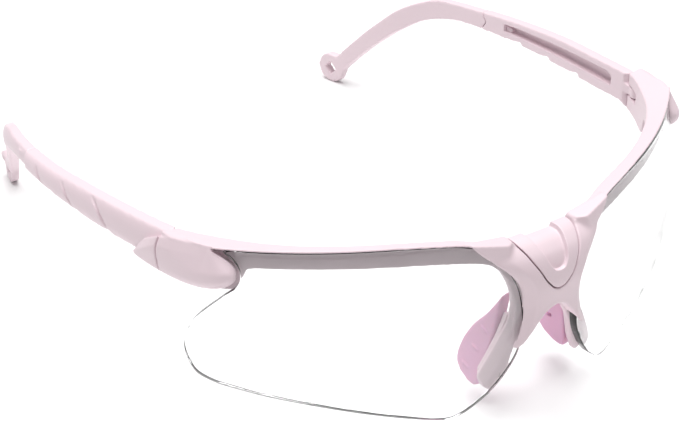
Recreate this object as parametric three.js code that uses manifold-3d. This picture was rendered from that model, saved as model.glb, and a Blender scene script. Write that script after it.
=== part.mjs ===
// Sports protective goggles with a half frame, two shield lenses and folding temples.
// Millimetres, +Z up, front towards -Y, the wearer's left at +X. The goggles stand as they
// rest on a table, on the lower lens edges and the temple tips, with Z = 0 at the table.
// Every piece is modelled on the wearer's left, with Y = 0 at the fold seam, and the right
// side is its mirror image.

import * as THREE from 'three';
import { ConvexGeometry } from 'three/addons/geometries/ConvexGeometry.js';
import { mergeVertices } from 'three/addons/utils/BufferGeometryUtils.js';
import Module from 'manifold-3d';

const wasm = await Module();
wasm.setup();

// ---- driving dimensions ----
const GAP = 0.3;                      // air between neighbouring pieces
const CENTRE_Y = -33.15;              // moves the middle of the overall length to Y = 0

// The lens is a piece of a ball; frame layers lie in front of it and behind it.
const LENS_CENTRE = [-14.2, 64.3, 20.2];
const LENS_RADIUS = 115.7;
const LENS_THICK = 2.0;
const LENS_TOP_Z = 45.8;
const COVER_RADIUS = LENS_RADIUS + 1.0;               // front of the bridge wings
const LIP_RADIUS = LENS_RADIUS + 0.45;                // front of the lip over the lens
const LIP_THICK = 0.5;
const PLATE_FRONT = LENS_RADIUS - LENS_THICK - GAP;   // front of what lies behind the lens
const PLATE_BACK = PLATE_FRONT - 1.6;
const CARRIER_FRONT = PLATE_BACK - 0.2;
const CARRIER_BACK = CARRIER_FRONT - 1.2;
const PAD_FRONT = CARRIER_BACK - 0.2;

// Front of the bridge in Y and Z: nearly upright below, rolling back over the top.
const BRIDGE_PROFILE = [[-51.6, 14], [-51.5, 22], [-51.5, 27], [-52, 31], [-52.25, 33.5], [-52, 36],
  [-51.35, 38], [-50.1, 40], [-48.3, 41.5], [-46.6, 42.4], [-44.8, 42.75], [-42, 42.5]];
const BRIDGE_BOW = 42;                // radius of its bow from side to side
const BRIDGE_REAR_Y = -42.6;
const CAP_THICK = 2.2;
const CAP_GROOVE = 0.35;
const SCOOP_DEPTH = 1.1;

// Fold hinge: a tongue of the temple between two prongs of the frame.
const PIN = [67.3, -3.4];
const SEAM_FRONT_Y = -0.7;
const SEAM_REAR_Y = -0.1;
const TONGUE_RADIUS = 2.2;
const TONGUE_Z = [38.8, 41.2];
const SLOT_Z = [38.5, 41.5];
const SLOT_X = [60, 69.8];
const SLOT_FRONT_Y = -6.3;
const SCREW_RADIUS = 0.75;
const SCREW_HEAD_RADIUS = 1.45;
const SCREW_HEAD_Z = [34.9, 36.1];
const SCREW_TOP_Z = 43.0;
const INSERT_RADIUS = 1.5;
const INSERT_Z = [41.7, 43.1];
const BORE_CLEARANCE = 0.15;
const HUB_NOSE = [64, -19.8, 41];
const HUB_TAIL = [71.4, 11, 34.5];
const HUB_RADIUS = 3.75;
const HUB_TAPER = 0.5;                // how much fatter than its middle the hub is at its nose
// Ridges that the hub is filled out to: over its free nose, and beside the strip and the arm.
const HUB_NOSE_RIDGE = [[66.6, -14.3, 45.9], [65.7, -15.8, 45], [64.7, -17, 44.3], [63.9, -18.1, 43.4],
  [63.3, -19, 42.3]];
const HUB_SHOULDER = [[66.3, -14.2, 46.4], [67.5, -11.9, 46], [69.1, -7.2, 45.1], [70.2, -4, 44.6],
  [71, -0.4, 43.9], [71.5, 2.5, 42.3], [71.5, 5.2, 40.7]];

// Temple: the front arm and the rear section plugged into it.
const TEMPLE_THICK = 4.3;
const TIP_THICK = 3.4;
const CHEVRON = { y: 62.2, nose: 2.0, z: 34.9, halfHeight: 3.0 };
const PLUG = { x: [70.7, 72.3], y: 50.5, z: [33.9, 36.2] };
const EYELET = { y: 113, z: 4.5, radius: 4.5, hole: 3.0 };
const EYELET_FACE = [[53.9, 108], [51.4, 118.5]];   // straight stretch of the inner face, X and Y
const GROOVE = { radius: 26, width: 0.9, depth: 0.5 };

// ---- shape helpers ----
const spline = (points, steps) => new THREE.SplineCurve(points.map(([a, b]) => new THREE.Vector2(a, b)))
  .getPoints(steps);
const corners = (points) => points.map(([a, b]) => new THREE.Vector2(a, b));

function toSolid(geometry) {
  geometry.deleteAttribute('normal');
  geometry.deleteAttribute('uv');
  const welded = mergeVertices(geometry, 1e-4);
  const mesh = new wasm.Mesh({
    numProp: 3,
    vertProperties: Float32Array.from(welded.attributes.position.array),
    triVerts: Uint32Array.from(welded.index.array),
  });
  return new wasm.Manifold(mesh);
}

function toGeometry(solid) {
  const { numProp, vertProperties, triVerts } = solid.getMesh();
  const positions = [];
  for (let i = 0; i < vertProperties.length; i += numProp) {
    positions.push(vertProperties[i], vertProperties[i + 1], vertProperties[i + 2]);
  }
  const geometry = new THREE.BufferGeometry();
  geometry.setAttribute('position', new THREE.Float32BufferAttribute(positions, 3));
  geometry.setIndex(Array.from(triVerts));
  return geometry;
}

function mirrorX(solid) {
  const geometry = toGeometry(solid);
  geometry.scale(-1, 1, 1);
  const index = Array.from(geometry.index.array);
  for (let i = 0; i < index.length; i += 3) {
    [index[i + 1], index[i + 2]] = [index[i + 2], index[i + 1]];
  }
  geometry.setIndex(index);
  return toSolid(geometry);
}

const join = (...solids) => solids.reduce((a, b) => a.add(b));
const cut = (body, ...tools) => tools.reduce((a, b) => a.subtract(b), body);
const common = (...solids) => solids.reduce((a, b) => a.intersect(b));

function extrude(outline, depth) {
  return new THREE.ExtrudeGeometry(new THREE.Shape(outline), { depth, bevelEnabled: false });
}

// Outline in X and Y, standing between two heights.
function plan(outline, z0, z1) {
  return toSolid(extrude(outline, z1 - z0).translate(0, 0, z0));
}

// Outline in X and Z, running from front y0 to back y1.
function front(outline, y0, y1) {
  return toSolid(extrude(outline, y1 - y0).rotateX(Math.PI / 2).translate(0, y1, 0));
}

// Outline in X and Z on the lens, drawn out along the lines from the middle of the lens ball.
function radial(outline) {
  const geometry = extrude(outline, 1);
  const place = geometry.attributes.position;
  for (let i = 0; i < place.count; i += 1) {
    const x = place.getX(i) - LENS_CENTRE[0];
    const z = place.getY(i) - LENS_CENTRE[2];
    const y = -Math.sqrt(LENS_RADIUS ** 2 - x * x - z * z);
    const reach = place.getZ(i) > 0.5 ? 1.1 : 0.86;
    place.setXYZ(i, x * reach, y * reach, z * reach);
  }
  return toSolid(geometry.translate(...LENS_CENTRE));
}

// Outline in Y and Z, running from x0 to x1.
function side(outline, x0, x1) {
  const geometry = extrude(outline, x1 - x0);
  geometry.rotateZ(Math.PI / 2).rotateY(Math.PI / 2);
  return toSolid(geometry.translate(x0, 0, 0));
}

function box([x0, x1], [y0, y1], [z0, z1]) {
  const geometry = new THREE.BoxGeometry(x1 - x0, y1 - y0, z1 - z0);
  return toSolid(geometry.translate((x0 + x1) / 2, (y0 + y1) / 2, (z0 + z1) / 2));
}

function ball(radius, [x, y, z], segments) {
  const geometry = new THREE.SphereGeometry(radius, segments, segments / 2);
  return toSolid(geometry.rotateX(Math.PI / 2).translate(x, y, z));
}

function post(radius, [z0, z1], [x, y] = PIN, segments = 20) {
  const geometry = new THREE.CylinderGeometry(radius, radius, z1 - z0, segments);
  return toSolid(geometry.rotateX(Math.PI / 2).translate(x, y, (z0 + z1) / 2));
}

const lensBall = (radius) => ball(radius, LENS_CENTRE, 96);
const lensLayer = (outer, inner) => cut(lensBall(outer), lensBall(inner));

// ---- lens ----
// Seen from the front: along the top edge, down the notch round the nose of the hub, round the
// outer end, back along the bottom edge and up the inner edge beside the wearer's nose.
function lensOutline(grow) {
  const top = spline([[13, 40.6 + grow], [17, 43.4 + grow], [22, 44.8 + grow], [29, 45.5 + grow],
    [37, LENS_TOP_Z + grow], [50, LENS_TOP_Z + grow], [64.6 + grow, LENS_TOP_Z + grow]], 14);
  const notch = spline([[64.4 + grow, 45.1], [63.4 + grow, 44], [62.7 + grow, 42.4], [62.5 + grow, 40.8],
    [62.8 + grow, 39.1], [63.8 + grow, 37.3]], 8);
  const outer = spline([[65.6 + grow, 35.7], [70.8 + grow, 29.4], [72.7 + grow, 23], [71.2 + grow, 16],
    [67.5, 13 - grow]], 12);
  const bottom = spline([[60, 10.4 - grow], [50, 7.5 - grow], [41.4, 4.9 - grow],
    [31.5, 2 - grow], [24, 0.02 - grow], [20, 1.1 - grow], [14.8, 5.6 - grow]], 14);
  const inner = spline([[12 - grow, 9.3], [8.6 - grow, 16], [7.6 - grow, 24],
    [8.6 - grow, 32], [10.4 - grow, 36.5]], 10);
  return [...top, ...notch, ...outer, ...bottom, ...inner];
}

function makeLens() {
  return common(lensLayer(LENS_RADIUS, LENS_RADIUS - LENS_THICK), radial(lensOutline(0)));
}

function lensPocket() {
  return common(lensLayer(LENS_RADIUS + GAP, PLATE_FRONT), radial(lensOutline(GAP)));
}

// ---- brow frame ----
const REAR_EDGE = [[0, -42.4], [8, -42.7], [15, -41.9], [21.3, -39.4], [33.9, -34.4], [45, -27.7],
  [54.8, -19], [62.8, -7.5], [66.2, SEAM_FRONT_Y]];

// The top strip, with its lip over the lens, and the wall behind the lens with its rounded ear.
function browBar() {
  const top = spline([[12, 43.2], [19.6, 45.1], [24.5, 45.8], [32, 46.4], [40, 46.6], [60, 46.6],
    [84, 46.6]], 24);
  const underLip = top.map(({ x, y }) => new THREE.Vector2(x, y - LIP_THICK)).reverse();
  const bottom = spline([[85.5, 36.1], [68, 36.1], [64.5, 36.4], [63.3, 37.6], [62.6, 39], [61.9, 40.8],
    [60.8, 41.7], [56.4, 41.8], [49.2, 41.8], [38, 41.6], [26.8, 41], [17.3, 39.7], [12.5, 37.8]], 36);
  const depth = [...spline(REAR_EDGE, 24), ...corners([[70.4, SEAM_FRONT_Y], [70.2, -4], [69.1, -7.2],
    [67.5, -11.9], [66.3, -14.2], [66, -60], [0, -60]])];
  const strip = common(radial([...top, ...underLip]), lensBall(LIP_RADIUS));
  const wall = common(radial([...top, ...bottom]), lensBall(PLATE_FRONT));
  const fall = corners([[0, 50], [0, 20], [90, 20], [90, 42], [72, 44.2], [68.4, 45.6], [64, 50]]);
  return common(join(strip, wall), plan(depth, 30, 50), front(fall, -70, 10));
}

// Where the two halves of the strip meet over the nose.
function bridgeCore() {
  const outline = corners([[0, 41.6], [8, 42.6], [15, 43.9], [15, 39], [11, 36.5], [6, 35], [0, 35]]);
  const depth = [...spline(REAR_EDGE.slice(0, 4), 8),
    ...corners([[21.3, -42.5], [18.5, -43.5], [9, -46], [0, -47]])];
  return common(front(outline, -60, 10), plan(depth, 30, 50));
}

function hubGeometry() {
  const geometry = new THREE.SphereGeometry(1, 36, 32);
  const place = geometry.attributes.position;
  const nose = new THREE.Vector3(...HUB_NOSE);
  const tail = new THREE.Vector3(...HUB_TAIL);
  for (let i = 0; i < place.count; i += 1) {
    const along = place.getY(i);
    const radius = HUB_RADIUS * (1 + HUB_TAPER * along);
    place.setXYZ(i, place.getX(i) * radius, along * nose.distanceTo(tail) / 2, place.getZ(i) * radius);
  }
  const axis = new THREE.Vector3().subVectors(nose, tail).normalize();
  const across = new THREE.Vector3().crossVectors(axis, new THREE.Vector3(0, 0, 1)).normalize();
  const up = new THREE.Vector3().crossVectors(across, axis);
  geometry.applyMatrix4(new THREE.Matrix4().makeBasis(across, axis, up));
  return geometry.translate(...nose.add(tail).divideScalar(2).toArray());
}

// The hub at the temple end: a bullet whose nose stands free over the notch in the lens.
function hub() {
  const bullet = hubGeometry();
  const place = bullet.attributes.position;
  const filledOut = (ridge, frontY) => {
    const points = ridge.map((corner) => new THREE.Vector3(...corner));
    for (let i = 0; i < place.count; i += 1) {
      const point = new THREE.Vector3().fromBufferAttribute(place, i);
      if (point.y > frontY) {
        points.push(point);
      }
    }
    return toSolid(new ConvexGeometry(points));
  };
  return join(filledOut(HUB_NOSE_RIDGE, -30), filledOut(HUB_SHOULDER, HUB_SHOULDER[0][1]));
}

// What lies in front of the rear edge of the strip, where the folding temple doesn't reach.
function frameSide() {
  return plan([...spline(REAR_EDGE, 24), ...corners([[90, SEAM_FRONT_Y], [90, -70], [0, -70]])], -5, 60);
}

// The front of the bridge: two wings up to the top strip and two legs beside the nose.
function bridgeOutline() {
  const wingTop = corners([[0, 43], [8, 43.2], [19.6, 45.2]]);
  const outerEdge = spline([[18.4, 43.6], [15.4, 40.6], [11.6, 37.2], [9.4, 34], [8.5, 30.5],
    [8.7, 26], [9.6, 22], [10.8, 19.2]], 14);
  const tip = spline([[10.6, 18.2], [9.6, 17.9], [8.6, 18.6]], 4);
  const innerEdge = spline([[6.6, 21], [4.2, 24.2], [2.2, 26.2], [0, 26.9]], 6);
  return [...wingTop, ...outerEdge, ...tip, ...innerEdge];
}

// The body behind the front of the bridge, with that front moved outwards.
function bridgeBody(outwards) {
  const steps = 30;
  const profile = spline(BRIDGE_PROFILE, steps).map((point, i, all) => {
    const before = all[Math.max(i - 1, 0)];
    const after = all[Math.min(i + 1, steps)];
    const along = new THREE.Vector2().subVectors(after, before).normalize();
    return new THREE.Vector2(point.x - along.y * outwards, point.y + along.x * outwards);
  });
  const shape = new THREE.Shape([...profile, ...corners([[-30, 42.5], [-30, 14]])]);
  const geometry = new THREE.ExtrudeGeometry(shape, { depth: 60, steps: 30, bevelEnabled: false });
  geometry.rotateZ(Math.PI / 2).rotateY(Math.PI / 2).translate(-30, 0, 0);
  const place = geometry.attributes.position;
  for (let i = 0; i < place.count; i += 1) {
    place.setY(i, place.getY(i) + place.getX(i) ** 2 / (2 * BRIDGE_BOW));
  }
  return toSolid(geometry);
}

function bridgeFront() {
  const outward = corners([[9, -30], [9, -45.8], [12.5, -48.2], [30, -60], [30, -30]]);
  const wing = common(lensBall(COVER_RADIUS), plan(outward, 30, 50));
  const bulge = join(bridgeBody(0), wing);
  const behind = corners([[-60, 50], [-42.5, 50], [-42.5, 40], [-45.4, 34], [-46.4, 26],
    [-47, 16], [-60, 16]]);
  return common(bulge, front(bridgeOutline(), -60, -30), side(behind, -1, 30));
}

// The plate behind the inner edge of the lens, which carries the nose pad.
function nosePlateOutline() {
  const outer = spline([[18, 40.6], [13.4, 38], [10.9, 35], [9.4, 31], [9.2, 27], [10.2, 23], [12.3, 19.1],
    [16.5, 10.6]], 16);
  const round = spline([[16.5, 9.4], [15.2, 7.2], [13.1, 6.1], [11.4, 7.2]], 7);
  const inner = corners([[10.1, 10.1], [8.5, 16.7], [5.6, 22], [4, 26], [4, 40.6]]);
  return [...outer, ...round, ...inner];
}

function nosePlate() {
  return common(lensLayer(PLATE_FRONT, PLATE_BACK), front(nosePlateOutline(), -60, -30));
}

// Between the legs and the plates, inboard of the lens edge, the frame is solid.
function bridgeWeb() {
  const outline = corners([[0, 41.6], [7, 42], [7, 21], [6.4, 21.4], [4.6, 25], [2.4, 27.4], [0, 28.2]]);
  const layer = common(lensBall(COVER_RADIUS), bridgeBody(-1));
  return common(cut(layer, lensBall(PLATE_BACK)), front(outline, -60, -30));
}

// ---- bridge cap ----
function bothSides(edge) {
  const left = edge.slice(0, -1).map(({ x, y }) => new THREE.Vector2(-x, y)).reverse();
  return [...edge, ...left];
}

function capOutline(grow) {
  return bothSides(spline([[8.3 + grow, 43.5], [8.1 + grow, 42.4], [7.1 + grow, 40.7], [6.3 + grow, 39.1],
    [4.8 + grow, 36.6], [3.6 + grow, 34.5], [1.6 + grow * 0.8, 32.3 - grow * 0.5], [0, 31.7 - grow]], 14));
}

function scoopOutline() {
  return bothSides(spline([[4.3, 44], [4.2, 42.5], [3.3, 40.3], [2.6, 38.2], [1.9, 37],
    [1.1, 36.3], [0, 36.1]], 10));
}

function makeCap() {
  const shell = cut(bridgeBody(-0.1), bridgeBody(-CAP_THICK));
  const blank = common(shell, front(capOutline(0), -60, BRIDGE_REAR_Y));
  const scoop = common(cut(bridgeBody(2), bridgeBody(-SCOOP_DEPTH)), front(scoopOutline(), -60, -38));
  return cut(blank, scoop);
}

function capPocket() {
  const shell = cut(bridgeBody(6), bridgeBody(-CAP_THICK - GAP));
  return common(shell, front(capOutline(CAP_GROOVE), -60, -38));
}

// ---- hinge cuts ----
function hingeCuts() {
  return [
    box([60, 80], [SEAM_FRONT_Y, 40], [20, 60]),
    box(SLOT_X, [SLOT_FRONT_Y, 2], SLOT_Z),
    post(SCREW_RADIUS + BORE_CLEARANCE, [30, SCREW_TOP_Z + 0.2]),
    post(SCREW_HEAD_RADIUS + BORE_CLEARANCE, [30, SCREW_HEAD_Z[1] + 0.1]),
    post(INSERT_RADIUS + BORE_CLEARANCE, [INSERT_Z[0] - 0.3, INSERT_Z[1] + 0.1]),
  ];
}

function makeFrame() {
  const hubFront = common(hub(), frameSide());
  const solid = join(browBar(), bridgeCore(), hubFront, bridgeFront(), nosePlate(), bridgeWeb());
  const half = cut(solid, lensPocket(), ...hingeCuts());
  const clipped = common(half, box([0, 90], [-80, 40], [-5, 60]));
  return cut(join(clipped, mirrorX(clipped)), capPocket());
}

// ---- nose pad and its carrier ----
function makeCarrier() {
  const outline = corners([[8.6, 24.6], [9.8, 24.6], [12, 19.1], [15.9, 11], [15.6, 9.2], [13.6, 7.4],
    [12.2, 7.8], [11, 10.4], [9.4, 16], [8.3, 21]]);
  return common(lensLayer(CARRIER_FRONT, CARRIER_BACK), front(outline, -60, -30));
}

// A leaf that leans outwards towards the cheek, with a neck up to the bridge.
function makePad() {
  const rearEdge = spline([[-43.6, 31], [-41.8, 26.6], [-39.3, 22.4], [-36.1, 18.2], [-33.9, 13.6],
    [-33.2, 9.6], [-34, 7.2], [-36.4, 5.7], [-39.5, 5.1], [-41.8, 5.7]], 20);
  const frontEdge = corners([[-48, 6], [-48, 31]]);
  const leaf = side([...rearEdge, ...frontEdge], 0, 30);
  const lean = corners([[6.4, 32], [8.8, 32], [14.9, 4], [12, 4]]);
  return common(leaf, front(lean, -60, -20), lensBall(PAD_FRONT));
}

// ---- hinge screw and threaded insert ----
function makeScrew() {
  const driveSlot = box([PIN[0] - 1.2, PIN[0] + 1.2], [PIN[1] - 0.2, PIN[1] + 0.2],
    [SCREW_HEAD_Z[0] - 1, SCREW_HEAD_Z[0] + 0.5]);
  const shank = post(SCREW_RADIUS, [SCREW_HEAD_Z[0] + 0.5, SCREW_TOP_Z]);
  return cut(join(shank, post(SCREW_HEAD_RADIUS, SCREW_HEAD_Z)), driveSlot);
}

function makeInsert() {
  const blank = post(INSERT_RADIUS, INSERT_Z, PIN, 6);
  return cut(blank, post(SCREW_RADIUS + BORE_CLEARANCE, [30, 60]));
}

// ---- temple arm ----
const INNER_FACE = [[65.7, SEAM_REAR_Y], [66.6, 5.7], [68.1, 17.8], [69.3, 30.5], [69.9, 45.4], [69.6, 55],
  [69, 63]];

function offsetFace(points, distance) {
  return points.map(([x, y]) => [x + distance, y]);
}

function templeProfile() {
  const top = spline([[SEAM_REAR_Y, 44.1], [11.6, 42.9], [30.5, 41.2], [45.4, 39.4], [63, 37.3]], 14);
  const scallops = [[46, 33.0, 0.9], [34, 33.4, 1.0], [21, 34.0, 1.1]];
  const bottom = [[63, 32.2], [54, 32.7]];
  for (const [y, z, step] of scallops) {
    bottom.push([y + 3, z], [y, z + step], [y - 0.6, z]);
  }
  bottom.push([12, 34.6], [5, 35.4], [SEAM_REAR_Y, 35.8]);
  return [...top, ...corners(bottom)];
}

function templeBlank() {
  const inner = spline(INNER_FACE, 14);
  const outer = spline(offsetFace(INNER_FACE, TEMPLE_THICK), 14).reverse();
  const arm = common(plan([...outer, ...inner], 25, 50), side(templeProfile(), 60, 80));
  const outside = plan([...inner, ...corners([[80, 63], [80, SEAM_REAR_Y]])], 25, 50);
  return join(arm, common(hub(), outside));
}

// Shallow curved grooves across the outer face.
function outerGrooves() {
  return [[52, 34.6], [37, 35], [22, 36]].map(([y, z]) => {
    const centre = [y + GROOVE.radius * 0.75, z - GROOVE.radius * 0.66];
    const ring = new THREE.Shape();
    const [from, to] = [Math.PI * 0.66, Math.PI * 0.86];
    ring.absarc(...centre, GROOVE.radius + GROOVE.width, from, to, false);
    ring.absarc(...centre, GROOVE.radius, to, from, true);
    const x = 69.9 + TEMPLE_THICK - GROOVE.depth;
    return side(ring.getPoints(8), x, 80);
  });
}

// The long hollow in the inner face, and the socket that it runs into at the rear.
function innerChannel() {
  const outline = corners([[6.4, 40.6], [8.4, 41.4], [53, 36.9], [53, 34.8], [6.4, 38]]);
  const floor = offsetFace(INNER_FACE, 2.2);
  const depth = [...spline(floor, 14), ...corners([[60, 63], [60, SEAM_REAR_Y]])];
  return common(side(outline, 60, 76), plan(depth, 25, 50));
}

function chevron(offset) {
  const { y, nose, z, halfHeight } = CHEVRON;
  return corners([[y + offset, z + 12], [y + offset, z + halfHeight], [y - nose + offset, z],
    [y + offset, z - halfHeight], [y + offset, z - 12]]);
}

function makeArm() {
  const rearCut = side([...chevron(0), ...corners([[100, 20], [100, 60]])], 50, 90);
  const socket = box([PLUG.x[0] - GAP, PLUG.x[1] + GAP], [PLUG.y - GAP, 70],
    [PLUG.z[0] - GAP, PLUG.z[1] + GAP]);
  const chamfer = plan(corners([[64, 3.2], [64, -1], [67.6, -1]]), 30, 50);
  const blank = cut(templeBlank(), rearCut, socket, chamfer, innerChannel(), ...outerGrooves());
  const root = box([PIN[0] - 1.4, PIN[0] + 1.9], [PIN[1], 1], TONGUE_Z);
  const tongue = cut(join(post(TONGUE_RADIUS, TONGUE_Z, PIN, 28), root),
    post(SCREW_RADIUS + BORE_CLEARANCE, [30, 60]));
  return join(blank, tongue);
}

// ---- temple tip ----
function tipProfile() {
  const top = spline([[58, 38.1], [63, 37.3], [72, 36.4], [80, 35.2], [90, 30.2], [98, 22.9], [106, 14.2],
    [110.6, 8.8]], 16);
  const eyelet = new THREE.Path();
  eyelet.absarc(EYELET.y, EYELET.z, EYELET.radius, Math.PI * 0.45, -Math.PI * 0.9, true);
  const bottom = spline([[108, 5.4], [104, 10], [98, 16.3], [91, 22.6], [83, 28], [73, 31.2], [63, 32.2],
    [58, 32.4]], 14);
  return [...top, ...eyelet.getPoints(18), ...bottom];
}

function makeTip() {
  const bend = [[69.7, 58], [69, 63], [67.6, 73], [65, 83], [61, 92], [56.8, 101], EYELET_FACE[0]];
  const inner = [...spline(bend, 18), ...corners([EYELET_FACE[1]])];
  const outer = [...spline(offsetFace(bend, TIP_THICK), 18),
    ...corners(offsetFace([EYELET_FACE[1]], TIP_THICK))];
  const thick = [...outer.reverse(), ...inner];
  const body = common(side(tipProfile(), 40, 90), plan(thick, -5, 50));
  const frontCut = side([...chevron(GAP), ...corners([[30, 20], [30, 60]])], 40, 90);
  const half = EYELET.hole * 0.7;
  const hole = side(corners([[EYELET.y - half, EYELET.z], [EYELET.y, EYELET.z + half],
    [EYELET.y + half, EYELET.z], [EYELET.y, EYELET.z - half]]), 40, 90);
  const plug = box(PLUG.x, [PLUG.y, CHEVRON.y + 4], PLUG.z);
  return join(cut(body, frontCut, hole), plug);
}

// ---- materials ----
const FRAME_PINK = { color: 0xe9d5dc, roughness: 0.42, metalness: 0 };
const PAD_PINK = { color: 0xe6aecd, roughness: 0.62, metalness: 0 };
const CLEAR = { color: 0xf4f8f8, roughness: 0.05, metalness: 0, transparent: true, opacity: 0.25 };
const STEEL = { color: 0xb9bcc0, roughness: 0.3, metalness: 1 };
const BRASS = { color: 0xc9a65a, roughness: 0.35, metalness: 1 };

// ---- assembly ----
const goggles = new THREE.Group();
goggles.position.y = CENTRE_Y;

function addNode(name, solid, look) {
  const mesh = new THREE.Mesh(toGeometry(solid), new THREE.MeshStandardMaterial(look));
  mesh.name = name;
  goggles.add(mesh);
}

function addPair(name, solid, look) {
  addNode(`${name}_left`, solid, look);
  addNode(`${name}_right`, mirrorX(solid), look);
}

addNode('brow_frame', makeFrame(), FRAME_PINK);
addNode('bridge_cap', makeCap(), FRAME_PINK);
addPair('lens', makeLens(), CLEAR);
addPair('nose_pad_carrier', makeCarrier(), FRAME_PINK);
addPair('nose_pad', makePad(), PAD_PINK);
addPair('hinge_screw', makeScrew(), STEEL);
addPair('hinge_insert', makeInsert(), BRASS);
addPair('temple_arm', makeArm(), FRAME_PINK);
addPair('temple_tip', makeTip(), FRAME_PINK);

goggles.updateMatrixWorld(true);
export default goggles;
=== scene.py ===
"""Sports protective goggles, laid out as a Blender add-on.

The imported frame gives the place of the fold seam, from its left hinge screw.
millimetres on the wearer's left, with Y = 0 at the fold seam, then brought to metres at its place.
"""
from contextlib import contextmanager
from math import cos, pi, radians, sin, sqrt

import bpy
from bpy.props import FloatProperty, FloatVectorProperty, IntProperty, PointerProperty
from mathutils import Matrix, Vector


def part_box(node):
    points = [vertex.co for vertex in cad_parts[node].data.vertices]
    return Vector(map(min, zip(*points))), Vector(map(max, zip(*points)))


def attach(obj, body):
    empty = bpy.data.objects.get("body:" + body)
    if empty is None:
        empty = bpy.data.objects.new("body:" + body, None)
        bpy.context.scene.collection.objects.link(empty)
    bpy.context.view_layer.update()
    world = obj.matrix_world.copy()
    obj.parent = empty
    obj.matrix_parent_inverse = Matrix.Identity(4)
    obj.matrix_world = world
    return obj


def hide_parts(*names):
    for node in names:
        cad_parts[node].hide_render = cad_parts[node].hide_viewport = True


bl_info = {
    "name": "Sports protective goggles",
    "version": (1, 0, 0),
    "blender": (4, 5, 0),
    "location": "View3D > Sidebar > Goggles",
    "description": "Builds the visible pieces of half-frame sports goggles around their CAD frame",
    "category": "Object",
}

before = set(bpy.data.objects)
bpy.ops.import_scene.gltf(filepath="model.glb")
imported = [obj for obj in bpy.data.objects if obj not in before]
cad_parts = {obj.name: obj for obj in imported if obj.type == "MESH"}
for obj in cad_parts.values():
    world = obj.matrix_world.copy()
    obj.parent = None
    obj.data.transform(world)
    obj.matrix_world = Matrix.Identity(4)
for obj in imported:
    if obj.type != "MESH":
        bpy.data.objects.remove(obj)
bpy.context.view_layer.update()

# ---- sizes, in millimetres ----
PIN = (67.3, -3.4)                    # hinge pin, from the middle plane and from the seam
GAP = 0.3                             # air between neighbouring pieces
LENS_CENTRE = (-14.2, 64.3, 20.2)     # middle of the ball that the left lens is a piece of
LENS_RADIUS = 115.7
COVER_RADIUS = LENS_RADIUS + 1.0      # front of the wings, which lie over the lens
LIP_RADIUS = LENS_RADIUS + 0.45       # front of the lip over the lens
LIP_THICK = 0.5
LENS_TOP_Z = 45.8
# Front of the bridge in Y and Z: nearly upright below, rolling back over the top.
BRIDGE_PROFILE = [(-51.6, 14), (-51.5, 22), (-51.5, 27), (-52, 31), (-52.25, 33.5), (-52, 36),
                  (-51.35, 38), (-50.1, 40), (-48.3, 41.5), (-46.6, 42.4), (-44.8, 42.75), (-42, 42.5)]
BRIDGE_BOW = 42                       # radius of its bow from side to side
BRIDGE_REAR_Y = -42.6
POCKET_BACK = LENS_RADIUS - 2.0 - GAP  # back of the lens pocket, where the wall and the plates begin
PLATE_THICK = 1.6
CARRIER_FRONT = POCKET_BACK - PLATE_THICK - 0.2
CARRIER_THICK = 1.2
PAD_FRONT = CARRIER_FRONT - CARRIER_THICK - 0.2
CAP_SLOT = 0.35                       # groove round the bridge cap
SCOOP_DEPTH = 1.1
FINE = 300                            # segments of a ball that shows in a finished surface
SEAM_FRONT_Y = -0.7
SEAM_REAR_Y = -0.1
HUB_NOSE = (64, -19.8, 41)
HUB_TAIL = (71.4, 11, 34.5)
HUB_RADIUS = 3.75
HUB_TAPER = 0.5
# Ridges that the hub is filled out to: over its free nose, and beside the strip and the arm.
HUB_NOSE_RIDGE = [(66.6, -14.3, 45.9), (65.7, -15.8, 45), (64.7, -17, 44.3), (63.9, -18.1, 43.4),
                  (63.3, -19, 42.3)]
HUB_SHOULDER = [(66.3, -14.2, 46.4), (67.5, -11.9, 46), (69.1, -7.2, 45.1), (70.2, -4, 44.6),
                (71, -0.4, 43.9), (71.5, 2.5, 42.3), (71.5, 5.2, 40.7)]
TEMPLE_THICK = 4.3
TIP_THICK = 3.4
CHEVRON = (62.2, 34.9)
EYELET = (113.0, 4.5)
EYELET_RADIUS = 4.5

# ---- light, in metres and watts ----
LAMP_PLACE = (0.0, 0.1, 0.95)
LAMP_WATTS = 13.0
SKY_STRENGTH = 0.3

seam_y = sum(corner.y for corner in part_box("hinge_screw_left")) / 2 / 0.001 - PIN[1]


def linear(code):
    """A colour from its sRGB hex code, as linear light."""
    parts = [int(code[i:i + 2], 16) / 255 for i in (1, 3, 5)]
    return [p / 12.92 if p <= 0.04045 else ((p + 0.055) / 1.055) ** 2.4 for p in parts]


# ---- what a user would change ----
class GogglesSizes(bpy.types.PropertyGroup):
    lens_thick: FloatProperty(name="Lens thickness", description="Thickness of each lens, in mm", default=2.0)
    mould_cell: FloatProperty(name="Moulding cell", description="Cell of the moulded pieces' surface, in mm",
                              default=0.24)
    edge_passes: IntProperty(name="Edge softness", description="Smoothing passes over moulded edges",
                             default=4)
    crown: FloatProperty(name="Temple crown", description="How far the temple's outer face bulges, in mm",
                         default=1.3)
    pad_cell: FloatProperty(name="Pad cell", description="Cell of the nose pads' surface, in mm", default=0.2)


class GogglesColours(bpy.types.PropertyGroup):
    plastic: FloatVectorProperty(name="Frame plastic", description="Blush of the frame and temples",
                                 subtype="COLOR", default=linear("#e6d2d9"))
    pad: FloatVectorProperty(name="Nose pad", description="Pink of the soft nose pads",
                             subtype="COLOR", default=linear("#deafcb"))
    lens: FloatVectorProperty(name="Lens", description="Tint of the clear lenses",
                              subtype="COLOR", default=linear("#fdfefe"))
    floor: FloatVectorProperty(name="Floor", description="Pale sweep that the goggles stand on",
                               subtype="COLOR", default=linear("#f8f8f8"))


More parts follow.
